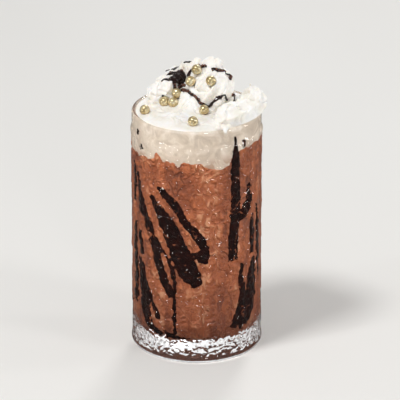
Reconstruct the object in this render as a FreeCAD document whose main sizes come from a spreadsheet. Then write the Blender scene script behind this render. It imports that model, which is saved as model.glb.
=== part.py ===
"""Mocha frappe: a fluted highball tumbler of blended drink under piped whipped cream and sugar pearls.

Millimetres, +Z up. The origin is the middle of the tumbler's underside, and the glass stands on z = 0.
The front, where the cream lies level with the rim, faces -Y. The lobe that hangs over the rim is at +X.
"""
import FreeCAD, Part
import math
import os

import Sketcher
from FreeCAD import Placement, Rotation, Vector

# Every driving size, as (alias, value, what it is). Lengths in mm, angles in degrees.
SIZES = (
    ("glass_height", 151, "tumbler, underside to rim"),
    ("glass_radius", 40, "outside of the wall, over the arrises between flutes"),
    ("lip_radius", 39, "outside of the plain band under the rim"),
    ("bore_radius", 36.4, "inside of the wall"),
    ("lip_band", 9, "height of the plain band under the rim"),
    ("lip_slope", 3, "height over which the band runs out to the wall"),
    ("lip_round", 1.1, "round of the rim, inside and outside"),
    ("floor_thick", 11, "clear glass under the drink"),
    ("floor_round", 14, "round between the bore and its floor"),
    ("foot_round", 3, "round at the foot"),
    ("flute_groups", 10, "how often a group of three flutes goes round"),
    ("flute_depth", 0.9, "cut of the widest flute"),
    ("flute_foot", 7, "lowest point of the flutes"),
    ("flute_fade", 6, "length over which a flute runs out"),
    ("drink_top", 128, "mean height of the drink, under the cream"),
    ("drink_tilt", 4.5, "how much higher the drink stands at the right wall"),
    ("drink_swell", 1.8, "height of the waves where cream and drink meet"),
    ("fill_gap", 0.05, "clearance round what fills or touches the glass"),
    ("nozzle_ridges", 8, "ridges left by the star nozzle"),
    ("ridge_share", 0.17, "depth of the ridges, as a share of the rope's radius"),
    ("ridge_twist", 80, "turn of the ridges along one rope"),
    ("rim_overlap", 3, "how far inside the bore a rope starts to lie on the rim's level"),
    ("cream_cap", 7.5, "rise of the spread cream from the rim to the middle"),
    ("core_radius", 25, "foot of the cream inside the ropes"),
    ("core_height", 25, "top of the cream inside the ropes, over the rim"),
    ("right_rope", 8.6, "radius of the rope that hangs over the rim"),
    ("right_ring", 27.5, "radius of its turn"),
    ("right_lift", 3.8, "height of its middle over the rim"),
    ("base_rope", 9.7, "radius of the lowest rope behind"),
    ("base_ring", 26.4, "radius of its turn"),
    ("base_lift", 5.2, "height of its middle over the rim"),
    ("back_rope", 9.2, "radius of the rope above it"),
    ("back_ring", 15, "radius of its turn"),
    ("back_lift", 12.5, "height of its middle over the rim"),
    ("front_radius", 15, "dollop in front, across its crests"),
    ("front_top", 27, "its top over the rim"),
    ("crown_radius", 8.5, "dollop behind it, across its crests"),
    ("crown_top", 31, "its top over the rim"),
    ("shoulder_radius", 8.5, "dollop to the left of it, across its crests"),
    ("shoulder_top", 22.5, "its top over the rim"),
    ("left_radius", 7.5, "dollop at the far left, across its crests"),
    ("left_top", 14.5, "its top over the rim"),
    ("dollop_twist", 60, "turn of a dollop's ridges from foot to top"),
    ("core_across", 2, "middle of the cream inside the ropes, to the right"),
    ("core_along", 3, "the same, to the back"),
    ("dome_radius", 7.2, "radius of the round blob on top"),
    ("dome_top", 31.8, "its top over the rim"),
    ("dome_across", 9.5, "its middle, to the right"),
    ("dome_along", 4, "its middle, to the back"),
    ("rope_end", 0.25, "girth of a rope at its very end, as a share"),
    ("rope_taper", 0.15, "share of a rope's length over which it thins"),
    ("end_droop", 0.4, "how far a rope's end sinks, as a share of its radius"),
    ("girth_pulse", 0.06, "unevenness of a rope's girth, as a share"),
    ("ring_pulse", 0.05, "how far a turn leans out to the right, as a share"),
    ("tip_end", 0.5, "radius where a peak was drawn out"),
    ("pearl_radius", 3.1, "sugar pearl"),
    ("pearl_sink", 1.4, "how deep a pearl sits in the cream"),
)

# The three flutes of a group: middle as a share of the group's angle, width, and upper end under the band.
FLUTES = ((0.17, 8.4, 1.0), (0.52, 7.6, 5.0), (0.84, 7.2, 2.5))

# The piped ropes: name, start and end in degrees from +X towards +Y, climb, middle of the turn in x and y,
# and whether the rope lies on the rim.
ROPES = (("right", -78, 24, -1.0, 5.0, 2.0, True), ("base", 66, 176, 1.0, 2.0, 1.0, True),
         ("back", 30, 205, 0.5, 0.5, 5.0, False))

# The piped dollops: name, middle in x and y, and how far the top leans over in x and y.
DOLLOPS = (("front", 8.0, -1.0, 4.0, 2.0), ("crown", -1.0, 6.0, 1.5, 0.0),
           ("shoulder", -16.2, 5.4, 1.0, 1.0), ("left", -23.0, 4.0, -0.5, 1.0))

# Peaks drawn out where the nozzle was pulled away: x, y, foot over the rim, foot radius, height, tilt.
TIPS = ((31.5, 4.0, 8.0, 3.6, 7.0, 6.0), (-8.0, 8.0, 16.0, 4.6, 12.0, -6.0))

# Where each pearl lies, seen from above, in shares of the bore's radius.
PEARLS = ((-0.85, -0.23), (-0.53, -0.045), (-0.325, -0.04), (-0.40, -0.10), (0.0, -0.04), (-0.10, -0.11),
          (0.235, -0.25), (0.12, -0.45), (-0.06, -0.79))


class Size:
    """A size on the sheet: its present value, and the expression that gives it."""

    def __init__(self, text, value):
        self.text = text
        self.value = float(value)

    def __add__(self, other):
        return Size(f"({self.text} + {as_size(other).text})", self.value + as_size(other).value)

    def __sub__(self, other):
        return Size(f"({self.text} - {as_size(other).text})", self.value - as_size(other).value)

    def __mul__(self, other):
        return Size(f"({self.text} * {as_size(other).text})", self.value * as_size(other).value)

    def __truediv__(self, other):
        return Size(f"({self.text} / {as_size(other).text})", self.value / as_size(other).value)


def as_size(number):
    """A plain number as a Size."""
    return number if isinstance(number, Size) else Size(repr(float(number)), number)


def write_sheet(document):
    """Put the driving sizes on a spreadsheet, and hand them back by name."""
    sheet = document.addObject("Spreadsheet::Sheet", "sizes")
    for row, (alias, value, meaning) in enumerate(SIZES, start=1):
        sheet.set(f"A{row}", alias)
        sheet.set(f"B{row}", str(value))
        sheet.set(f"C{row}", meaning)
        sheet.setAlias(f"B{row}", alias)
    document.recompute()
    return {alias: Size(f"sizes.{alias}", sheet.get(alias)) for alias, _, _ in SIZES}


def bind(thing, **properties):
    """Bind properties of an object to sizes."""
    for name, size in properties.items():
        thing.setExpression(name, as_size(size).text)


def place_at(thing, x, y, z):
    """Tie an object's place to sizes, and leave its turn."""
    for axis, size in (("x", x), ("y", y), ("z", z)):
        thing.setExpression(f"Placement.Base.{axis}", as_size(size).text)


def origin_part(body, role):
    """The plane or axis of the body's own origin that has that role, such as XZ_Plane."""
    return next(feature for feature in body.Origin.OriginFeatures if feature.Role == role)


def sketch_outline(body, name, corners, rounded=None, radius=None):
    """Sketch a closed outline on the body's XZ plane.

    corners are (x, z) pairs of sizes, in order. Side number rounded, if one is given, is a quarter
    circle of that radius with its middle above and inside it. Every corner is tied to the sheet.
    """
    sketch = body.newObject("Sketcher::SketchObject", name)
    sketch.AttachmentSupport = (origin_part(body, "XZ_Plane"), [""])
    sketch.MapMode = "FlatFace"
    places = [Vector(as_size(x).value, as_size(z).value, 0) for x, z in corners]
    ends = []
    for side, first in enumerate(places):
        second = places[(side + 1) % len(places)]
        if side == rounded:
            middle = Vector(min(first.x, second.x), max(first.y, second.y), 0)
            circle = Part.Circle(middle, Vector(0, 0, 1), radius.value)
            sketch.addGeometry(Part.ArcOfCircle(circle, -math.pi / 2, 0))
            ends.append((2, 1))
        else:
            sketch.addGeometry(Part.LineSegment(first, second))
            ends.append((1, 2))
    for side in range(len(places)):
        after = (side + 1) % len(places)
        sketch.addConstraint(Sketcher.Constraint("Coincident", side, ends[side][1], after, ends[after][0]))
    for side, corner in enumerate(corners):
        for axis, size in zip(("DistanceX", "DistanceY"), corner):
            size = as_size(size)
            tie = Sketcher.Constraint(axis, -1, 1, side, ends[side][0], size.value)
            bind(sketch, **{f"Constraints[{sketch.addConstraint(tie)}]": size})
    if rounded is not None:
        tie = sketch.addConstraint(Sketcher.Constraint("Radius", rounded, radius.value))
        bind(sketch, **{f"Constraints[{tie}]": radius})
    return sketch


def revolve(body, sketch, kind="PartDesign::Revolution", name="turned"):
    """Turn a sketch round the body's Z axis."""
    turned = body.newObject(kind, name)
    turned.Profile = sketch
    turned.ReferenceAxis = (origin_part(body, "Z_Axis"), [""])
    turned.Angle = 360
    sketch.Visibility = False
    return turned


def bore_corners(sizes, gap):
    """The bore's outline from the axis out, drawn in by a gap. Its second side is the round."""
    radius = sizes["bore_radius"] - gap
    floor = sizes["floor_thick"] + gap
    bend = sizes["floor_round"] - gap
    return [(0, floor), (radius - bend, floor), (radius, floor + bend)]


def build_tumbler(document, sizes):
    """The glass: a turned wall with a heavy floor, three sorts of flute cut round it, and a round rim."""
    body = document.addObject("PartDesign::Body", "tumbler")
    rim = sizes["glass_height"]
    band = rim - sizes["lip_band"]
    wall = sizes["glass_radius"]
    inner = bore_corners(sizes, as_size(0))
    corners = [(0, 0), (wall, 0), (wall, band - sizes["lip_slope"]), (sizes["lip_radius"], band),
               (sizes["lip_radius"], rim), (sizes["bore_radius"], rim)] + inner[::-1]
    outline = sketch_outline(body, "wall_outline", corners, rounded=6, radius=sizes["floor_round"])
    revolve(body, outline, name="wall")
    document.recompute()
    for number, (place, width, fall) in enumerate(FLUTES):
        cut_flutes(body, sizes, number, place, width, band - sizes["lip_slope"] - fall)
        document.recompute()
    round_edges(body, sizes["lip_round"], "rim_round", rim.value)
    document.recompute()
    round_edges(body, sizes["foot_round"], "foot_round", 0)
    return body


def cut_flutes(body, sizes, number, place, width, top):
    """Cut one flute with a long spindle that runs to a point at both ends, and repeat it round the wall."""
    depth = sizes["flute_depth"] * (width / FLUTES[0][1])
    spindle = as_size(width * width / 8) / depth
    middle = sizes["glass_radius"] + spindle - depth
    low = sizes["flute_foot"]
    fade = sizes["flute_fade"]
    corners = [(middle, low), (middle - spindle, low + fade), (middle - spindle, top - fade), (middle, top)]
    sketch = sketch_outline(body, f"spindle_{number}", corners)
    flute = body.newObject("PartDesign::Groove", f"flute_{number}")
    flute.Profile = sketch
    flute.ReferenceAxis = (sketch, ["Edge4"])
    flute.Angle = 360
    turn = as_size(360 * place) / sizes["flute_groups"]
    sketch.AttachmentOffset = Placement(Vector(), Rotation(Vector(0, 1, 0), turn.value))
    sketch.setExpression("AttachmentOffset.Rotation.Angle", turn.text)
    ring = body.newObject("PartDesign::PolarPattern", f"flutes_{number}")
    ring.Originals = [flute]
    ring.Axis = (origin_part(body, "Z_Axis"), [""])
    ring.Angle = 360
    bind(ring, Occurrences=sizes["flute_groups"])
    body.Tip = ring


def round_edges(body, radius, name, height):
    """Round the edges of the body's tip that lie flat at that height."""
    base = body.Tip
    flat = [f"Edge{number}" for number, edge in enumerate(base.Shape.Edges, start=1)
            if all(abs(vertex.Z - height) < 1e-6 for vertex in edge.Vertexes)]
    fillet = body.newObject("PartDesign::Fillet", name)
    fillet.Base = (base, flat)
    bind(fillet, Radius=radius)


def build_filling(document, sizes):
    """What fills the glass: one turned form, cut in two where the waves run."""
    core = document.addObject("PartDesign::Body", "filling")
    gap = sizes["fill_gap"]
    inner = bore_corners(sizes, gap)
    rim = sizes["glass_height"]
    corners = inner + [(sizes["bore_radius"] - gap, rim), (0, rim + sizes["cream_cap"])]
    outline = sketch_outline(core, "filling_outline", corners, rounded=1, radius=sizes["floor_round"] - gap)
    revolve(core, outline, name="filling_turned")
    above = document.addObject("Part::Feature", "above_waves")
    above.Shape = wave_sheet(sizes).extrude(Vector(0, 0, rim.value))
    document.recompute()
    drink = document.addObject("Part::Cut", "frappe")
    drink.Base = core
    drink.Tool = above
    layer = document.addObject("Part::Common", "cream_layer")
    layer.Base = core
    layer.Tool = above
    return drink, layer


def wave_sheet(sizes):
    """The surface where cream and drink meet: tilted up to the right, with uneven swells."""
    radius = sizes["bore_radius"].value
    steps = 14
    rows = []
    for across in range(-steps, steps + 1, 2):
        row = []
        for along in range(-steps, steps + 1, 2):
            x = 1.1 * across / steps
            y = 1.1 * along / steps
            swell = math.sin(5.1 * x - 2.3 * y + 0.6) + 0.7 * math.sin(3.4 * y + 7.2 * x * y - 1.1)
            rise = sizes["drink_tilt"].value * (x + 0.25 * y) + sizes["drink_swell"].value * swell
            row.append(Vector(radius * x, radius * y, sizes["drink_top"].value + rise))
        rows.append(row)
    surface = Part.BSplineSurface()
    surface.interpolate(rows)
    return surface.toShape()


def star_outline(middle, across, along, radius, depth, ridges, turn):
    """One section of piped cream, between two directions: a soft star whose crests reach the radius.

    The poles stand out by the depth past the crests and twice the depth under the hollows, because a
    cubic spline through alternating poles keeps a third of their height.
    """
    poles = []
    for number in range(2 * ridges):
        angle = turn + math.pi * number / ridges
        reach = radius - 2 * depth if number % 2 else radius + depth
        poles.append(middle + across * (reach * math.cos(angle)) + along * (reach * math.sin(angle)))
    curve = Part.BSplineCurve()
    curve.buildFromPoles(poles, True, 3)
    return Part.Wire(curve.toShape())


def pipe_rope(document, sizes, rope):
    """A star rope bent round its middle, climbing, uneven, and thin at both ends."""
    name, start, end, climb, across, along, _ = rope
    radius = sizes[f"{name}_rope"].value
    lift = sizes["glass_height"].value + sizes[f"{name}_lift"].value
    ridges = round(sizes["nozzle_ridges"].value)
    steps = round((end - start) / 15)
    wires = []
    for step in range(steps + 1):
        share = step / steps
        angle = math.radians(start + (end - start) * share)
        outward = Vector(math.cos(angle), math.sin(angle), 0)
        near_end = math.sqrt(min(share, 1 - share) / sizes["rope_taper"].value)
        thin = min(1, sizes["rope_end"].value + (1 - sizes["rope_end"].value) * near_end)
        girth = radius * thin * (1 + sizes["girth_pulse"].value * math.sin(2.3 * angle + radius))
        ring = sizes[f"{name}_ring"].value * (1 + sizes["ring_pulse"].value * math.cos(angle))
        height = lift + climb * (share - 0.5) - sizes["end_droop"].value * radius * (1 - thin)
        twist = math.radians(sizes["ridge_twist"].value) * share
        middle = Vector(across, along, height) + outward * ring
        depth = girth * sizes["ridge_share"].value
        wires.append(star_outline(middle, outward, Vector(0, 0, 1), girth, depth, ridges, twist))
    piped = document.addObject("Part::Feature", f"{name}_rope")
    piped.Shape = Part.makeLoft(wires, True, False)
    piped.Placement = Placement()
    return piped


def pipe_dollop(document, sizes, dollop):
    """A dollop pressed out upright: star sections that swell over the foot, turn and draw in to the top."""
    name, across, along, lean_across, lean_along = dollop
    radius = sizes[f"{name}_radius"].value
    foot = sizes["glass_height"].value
    top = sizes[f"{name}_top"].value
    ridges = round(sizes["nozzle_ridges"].value)
    wires = []
    for share in (0, 0.2, 0.4, 0.58, 0.73, 0.85, 0.93, 0.98):
        reach = radius * (0.9 + 0.45 * share) * (1 - share * share) ** 0.6
        middle = Vector(across + lean_across * share, along + lean_along * share, foot + top * share)
        turn = math.radians(sizes["dollop_twist"].value * share)
        depth = reach * sizes["ridge_share"].value
        wires.append(star_outline(middle, Vector(1, 0, 0), Vector(0, 1, 0), reach, depth, ridges, turn))
    piped = document.addObject("Part::Feature", f"{name}_dollop")
    piped.Shape = Part.makeLoft(wires, True, False)
    piped.Placement = Placement()
    return piped


def build_cream(document, sizes, layer):
    """The whipped cream: the layer in the glass with its spread top, the ropes, dollops, dome and tips."""
    rim = sizes["glass_height"]
    core = document.addObject("Part::Cone", "core")
    bind(core, Radius1=sizes["core_radius"], Radius2=sizes["crown_radius"] / 2)
    bind(core, Height=sizes["core_height"] + sizes["cream_cap"])
    place_at(core, sizes["core_across"], sizes["core_along"], rim - sizes["cream_cap"])
    dome = document.addObject("Part::Sphere", "dome")
    bind(dome, Radius=sizes["dome_radius"])
    place_at(dome, sizes["dome_across"], sizes["dome_along"], rim + sizes["dome_top"] - sizes["dome_radius"])
    pieces = [layer, core, dome]
    for rope in ROPES:
        piped = pipe_rope(document, sizes, rope)
        pieces.append(rest_on_rim(document, sizes, piped) if rope[-1] else piped)
    pieces += [pipe_dollop(document, sizes, dollop) for dollop in DOLLOPS]
    for number, (x, y, foot, radius, height, tilt) in enumerate(TIPS, start=1):
        tip = document.addObject("Part::Cone", f"tip_{number}")
        bind(tip, Radius1=radius, Radius2=sizes["tip_end"], Height=height)
        tip.Placement = Placement(Vector(), Rotation(Vector(0, 1, 0), tilt))
        place_at(tip, x, y, rim + foot)
        pieces.append(tip)
    document.recompute()
    heap = document.addObject("Part::MultiFuse", "heap")
    heap.Shapes = pieces
    heap.Refine = False
    document.recompute()
    return heap


def rest_on_rim(document, sizes, rope):
    """Cut a rope level where it hangs over the wall, so that it lies on the rim.

    The cut starts a little inside the bore, where the spread cream already stands higher.
    """
    rim = sizes["glass_height"]
    outer = document.addObject("Part::Cylinder", f"{rope.Name}_round_the_rim")
    bind(outer, Radius=sizes["glass_radius"] * 2, Height=rim + sizes["fill_gap"])
    inner = document.addObject("Part::Cylinder", f"{rope.Name}_inside_the_bore")
    bind(inner, Radius=sizes["bore_radius"] - sizes["rim_overlap"], Height=rim * 2)
    wall = document.addObject("Part::Cut", f"{rope.Name}_wall_room")
    wall.Base = outer
    wall.Tool = inner
    trimmed = document.addObject("Part::Cut", f"{rope.Name}_on_rim")
    trimmed.Base = rope
    trimmed.Tool = wall
    return trimmed


def top_of(shape, x, y):
    """Height at which a plumb line at x, y meets the shape from above."""
    box = shape.BoundBox
    line = Part.makeLine(Vector(x, y, box.ZMax + 5), Vector(x, y, box.ZMin - 5))
    return max(vertex.Z for vertex in line.common(shape).Vertexes)


def settle(shape, sizes, place, others):
    """Where a pearl's middle comes to rest: sunk in the cream, and moved over until it is off the others."""
    rise = (sizes["pearl_radius"] - sizes["pearl_sink"]).value
    apart = (sizes["pearl_radius"] * 2 + sizes["fill_gap"]).value
    step = sizes["pearl_radius"].value / 20
    while True:
        middle = Vector(place.x, place.y, top_of(shape, place.x, place.y) + rise)
        near = [other for other in others if middle.distanceToPoint(other) < apart]
        if not near:
            return middle
        place += Vector(place.x - near[0].x, place.y - near[0].y, 0).normalize() * step


def seat_pearls(document, sizes, heap):
    """Set the pearls on the heap, and cut their seats in it. Hands back the cream and the pearls."""
    pearls = []
    seats = []
    for number, (across, along) in enumerate(PEARLS, start=1):
        place = Vector(across, along, 0) * sizes["bore_radius"].value
        others = [pearl.Placement.Base for pearl in pearls]
        pearl = document.addObject("Part::Sphere", f"pearl_{number}")
        bind(pearl, Radius=sizes["pearl_radius"])
        pearl.Placement = Placement(settle(heap.Shape, sizes, place, others), Rotation())
        pearls.append(pearl)
        seat = document.addObject("Part::Sphere", f"seat_{number}")
        bind(seat, Radius=sizes["pearl_radius"] + sizes["fill_gap"])
        seat.Placement = pearl.Placement
        seats.append(seat)
    room = document.addObject("Part::Compound", "seats")
    room.Links = seats
    cream = document.addObject("Part::Cut", "whipped_cream")
    cream.Base = heap
    cream.Tool = room
    cream.Refine = False
    document.recompute()
    return cream, pearls


def save(document, parts):
    """Stop on anything that failed, and write each sub-part to its own file."""
    for thing in document.Objects:
        if {"Invalid", "Error"} & set(thing.State):
            raise RuntimeError(f"{thing.Name} failed: {thing.State}")
    os.makedirs("parts", exist_ok=True)
    for part in parts:
        part.Label = part.Name
        if part.Shape.isNull() or not part.Shape.isValid() or len(part.Shape.Solids) != 1:
            raise RuntimeError(f"{part.Name} is not one sound solid")
    for part in parts:
        part.Shape.exportStep(f"parts/{part.Label}.step")
        print(f"{part.Label}: {part.Shape.Volume / 1000:.2f} ml")


def main():
    document = FreeCAD.newDocument("mocha_frappe")
    sizes = write_sheet(document)
    tumbler = build_tumbler(document, sizes)
    drink, layer = build_filling(document, sizes)
    heap = build_cream(document, sizes, layer)
    cream, pearls = seat_pearls(document, sizes, heap)
    save(document, [tumbler, drink, cream] + pearls)


main()
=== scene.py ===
"""Mocha frappe in a highball tumbler: the looks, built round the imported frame.

Metres, +Z up. The glass stands on z = 0, its front faces -Y, and angles round it are counted in degrees
from the front towards +X. Sizes in the classes are in millimetres where their names end in _mm.
"""

import logging
import math
from dataclasses import dataclass, field
from enum import Enum

import bmesh
import bpy
import numpy as np
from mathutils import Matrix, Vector, noise
from mathutils.bvhtree import BVHTree


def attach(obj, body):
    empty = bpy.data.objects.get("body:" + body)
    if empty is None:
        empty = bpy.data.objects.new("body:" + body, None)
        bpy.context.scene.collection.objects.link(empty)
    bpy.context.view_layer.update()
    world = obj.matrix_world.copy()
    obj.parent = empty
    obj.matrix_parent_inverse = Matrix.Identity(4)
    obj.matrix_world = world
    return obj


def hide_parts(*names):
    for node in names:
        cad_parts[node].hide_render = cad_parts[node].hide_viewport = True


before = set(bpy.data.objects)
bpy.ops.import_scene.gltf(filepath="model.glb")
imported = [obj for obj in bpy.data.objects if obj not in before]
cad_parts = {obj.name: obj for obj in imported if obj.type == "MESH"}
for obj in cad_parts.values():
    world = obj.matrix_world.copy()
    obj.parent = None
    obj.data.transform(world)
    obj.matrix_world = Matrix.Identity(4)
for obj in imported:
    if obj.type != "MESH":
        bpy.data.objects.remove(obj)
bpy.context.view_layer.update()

log = logging.getLogger("mocha_frappe")

MM = 0.001


class Slot(Enum):
    """The material slots of the record."""

    GLASS = "glass"
    FRAPPE = "frappe"
    CREAM = "cream"
    PEARL = "pearl"
    SYRUP = "syrup"


class Ray(Enum):
    """The kinds of ray for which a material or the world answers differently."""

    CAMERA = "Is Camera Ray"
    GLOSSY = "Is Glossy Ray"
    TRANSMISSION = "Is Transmission Ray"
    SHADOW = "Is Shadow Ray"


def srgb(code: str) -> tuple[float, float, float, float]:
    """Linear colour of a hexadecimal sRGB code.

    Args:
        code: Six hexadecimal digits.

    Returns:
        Red, green, blue and an alpha of 1, linear.
    """
    parts = [int(code[start:start + 2], 16) / 255 for start in (0, 2, 4)]
    linear = [part / 12.92 if part <= 0.04045 else ((part + 0.055) / 1.055) ** 2.4 for part in parts]
    return (linear[0], linear[1], linear[2], 1.0)


class Tree:
    """Short calls that put nodes into a shader or geometry tree."""

    def __init__(self, tree: bpy.types.NodeTree) -> None:
        """Work on that tree."""
        self.tree = tree

    def feed(self, socket: bpy.types.NodeSocket, value: object) -> None:
        """Link an output to a socket, or set the socket's own value.

        Args:
            socket: The input that takes the value.
            value: An output socket, or a plain value.
        """
        if isinstance(value, bpy.types.NodeSocket):
            self.tree.links.new(value, socket)
        else:
            socket.default_value = value

    def node(self, kind: str, inputs: dict | None = None, **settings: object) -> bpy.types.Node:
        """Add a node.

        Args:
            kind: The node's type.
            inputs: Values or output sockets, by input name or number.
            settings: The node's own properties.

        Returns:
            The node.
        """
        made = self.tree.nodes.new(kind)
        for name, value in settings.items():
            setattr(made, name, value)
        for key, value in (inputs or {}).items():
            self.feed(made.inputs[key], value)
        return made

    def math(self, operation: str, *values: object) -> bpy.types.NodeSocket:
        """Result of a math node on up to three values."""
        made = self.node("ShaderNodeMath", dict(enumerate(values)), operation=operation)
        return made.outputs[0]

    def vector(self, operation: str, *values: object) -> bpy.types.NodeSocket:
        """Vector result of a vector math node."""
        made = self.node("ShaderNodeVectorMath", dict(enumerate(values)), operation=operation)
        return made.outputs[0]

    def scaled(self, vector: bpy.types.NodeSocket, factor: object) -> bpy.types.NodeSocket:
        """A vector times a number."""
        return self.node("ShaderNodeVectorMath", {0: vector, "Scale": factor}, operation="SCALE").outputs[0]

    def spread(self, value: object, low: object, high: object, to_low: float = 0.0, to_high: float = 1.0,
               kind: str = "SMOOTHSTEP") -> bpy.types.NodeSocket:
        """Value mapped from one range to another, held at its ends.

        Args:
            value: What is mapped.
            low: Start of the range it comes from.
            high: End of that range.
            to_low: Result at the start.
            to_high: Result at the end.
            kind: How it runs between them.

        Returns:
            The result's socket.
        """
        ends = {"Value": value, "From Min": low, "From Max": high, "To Min": to_low, "To Max": to_high}
        return self.node("ShaderNodeMapRange", ends, interpolation_type=kind).outputs[0]

    def noise(self, place: object, scale: object, detail: float = 2.0, rough: float = 0.5,
              bend: float = 0.0) -> bpy.types.Node:
        """A noise texture node."""
        inputs = {"Vector": place, "Scale": scale, "Detail": detail, "Roughness": rough, "Distortion": bend}
        return self.node("ShaderNodeTexNoise", inputs)

    def ramp(self, value: bpy.types.NodeSocket, stops: tuple) -> bpy.types.NodeSocket:
        """Colour that follows a value.

        Args:
            value: Where on the ramp the colour is read.
            stops: Pairs of place and sRGB code, in order.

        Returns:
            The colour's socket.
        """
        made = self.node("ShaderNodeValToRGB", {"Fac": value})
        points = made.color_ramp.elements
        while len(points) < len(stops):
            points.new(0.5)
        for point, (place, code) in zip(points, stops):
            point.position = place
            point.color = srgb(code)
        return made.outputs["Color"]

    def blend(self, share: object, first: object, second: object, kind: str = "MIX") -> bpy.types.NodeSocket:
        """Two colours mixed by a share."""
        made = self.node("ShaderNodeMix", data_type="RGBA", blend_type=kind)
        for number, value in ((0, share), (6, first), (7, second)):
            self.feed(made.inputs[number], value)
        return made.outputs[2]

    def group(self, tree: bpy.types.NodeTree, **values: object) -> bpy.types.Node:
        """A node group with its inputs fed by name, underscores standing for spaces."""
        made = self.node("ShaderNodeGroup", node_tree=tree)
        for name, value in values.items():
            self.feed(made.inputs[name.replace("_", " ")], value)
        return made


def uneven_group() -> bpy.types.NodeTree:
    """The shader group that every finish uses: cloudy tone, fine specks and a height for bumps.

    Returns:
        The group, built once.
    """
    name = "uneven_surface"
    if name in bpy.data.node_groups:
        return bpy.data.node_groups[name]
    tree = bpy.data.node_groups.new(name, "ShaderNodeTree")
    for label, value in (("Cloud Scale", 60.0), ("Speck Scale", 900.0), ("Speck Share", 0.3)):
        tree.interface.new_socket(label, in_out="INPUT", socket_type="NodeSocketFloat").default_value = value
    for label in ("Tone", "Specks", "Height"):
        tree.interface.new_socket(label, in_out="OUTPUT", socket_type="NodeSocketFloat")
    make = Tree(tree)
    source = make.node("NodeGroupInput").outputs
    place = make.node("ShaderNodeTexCoord").outputs["Object"]
    cloud = make.noise(place, source["Cloud Scale"], 4.0, 0.6, 0.4).outputs[0]
    fine = make.noise(place, source["Speck Scale"], 3.0, 0.65).outputs[0]
    tone = make.spread(cloud, 0.3, 0.7)
    specks = make.spread(fine, 0.56, 0.68)
    share = make.math("MULTIPLY", fine, source["Speck Share"])
    height = make.math("ADD", cloud, share)
    make.node("NodeGroupOutput", {"Tone": tone, "Specks": specks, "Height": height})
    return tree


def new_material(name: str, **constants: object) -> tuple[bpy.types.Material, Tree, bpy.types.Node]:
    """A material with its Principled shader.

    Args:
        name: The material's name.
        constants: Plain values for the shader's own sockets, underscores standing for spaces.

    Returns:
        The material, its tree, and the shader.
    """
    made = bpy.data.materials.new(name)
    made.use_nodes = True
    shader = made.node_tree.nodes["Principled BSDF"]
    for label, value in constants.items():
        shader.inputs[label.replace("_", " ")].default_value = value
    return made, Tree(made.node_tree), shader


def bump(make: Tree, shader: bpy.types.Node, height: object, depth_mm: float, strength: float = 1.0) -> None:
    """Feed a height through a Bump node into a shader's normal."""
    bumped = make.node("ShaderNodeBump", {"Height": height, "Distance": depth_mm * MM, "Strength": strength})
    make.feed(shader.inputs["Normal"], bumped.outputs[0])


@dataclass(frozen=True)
class GlassFinish:
    """Clear pressed glass: faint waves everywhere, and fine crackle on the relief outside."""

    name: str = "clear_glass"
    tint: str = "ffffff"
    wave_scale: float = 260.0
    wave_depth_mm: float = 0.04
    crackle_scale: float = 330.0
    crackle_depth_mm: float = 0.9
    wall_mm: float = 38.3
    low_mm: float = 4.0
    high_mm: float = 143.0

    def make(self) -> bpy.types.Material:
        """Build the material; shadow rays pass, so that what stands inside is lit."""
        made, make, shader = new_material(self.name, Base_Color=srgb(self.tint), Roughness=0.01, IOR=1.5,
                                          Metallic=0.0, Transmission_Weight=1.0, Specular_IOR_Level=0.3)
        parts = make.group(uneven_group(), Cloud_Scale=self.wave_scale, Speck_Scale=900.0, Speck_Share=0.1)
        waves = make.math("MULTIPLY", parts.outputs["Height"], self.wave_depth_mm * MM)
        place = make.node("ShaderNodeTexCoord").outputs["Object"]
        axes = make.node("ShaderNodeSeparateXYZ", {0: place}).outputs
        flat = make.node("ShaderNodeCombineXYZ", {0: axes["X"], 1: axes["Y"]}).outputs[0]
        reach = make.node("ShaderNodeVectorMath", {0: flat}, operation="LENGTH").outputs["Value"]
        share = make.spread(reach, (self.wall_mm - 0.4) * MM, self.wall_mm * MM)
        share = make.math("MULTIPLY", share, make.spread(axes["Z"], self.low_mm * MM, (self.low_mm + 3) * MM))
        share = make.math("MULTIPLY", share, make.spread(axes["Z"], self.high_mm * MM, (self.high_mm - 4) * MM))
        bent = make.vector("ADD", place, make.scaled(make.noise(place, 180.0, 2.0).outputs["Color"], 0.004))
        cells = make.node("ShaderNodeTexVoronoi", {"Vector": bent, "Scale": self.crackle_scale, "Smoothness": 0.35},
                          feature="SMOOTH_F1").outputs["Distance"]
        crackle = make.math("MULTIPLY", make.math("MULTIPLY", cells, share), self.crackle_depth_mm * MM)
        bump(make, shader, make.math("ADD", waves, crackle), 1000.0)
        passing = make.node("ShaderNodeBsdfTransparent", {"Color": srgb(self.tint)})
        rays = make.node("ShaderNodeLightPath")
        mix = make.node("ShaderNodeMixShader", {0: rays.outputs[Ray.SHADOW.value], 1: shader.outputs[0],
                                                2: passing.outputs[0]})
        make.feed(made.node_tree.nodes["Material Output"].inputs["Surface"], mix.outputs[0])
        return made


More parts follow.
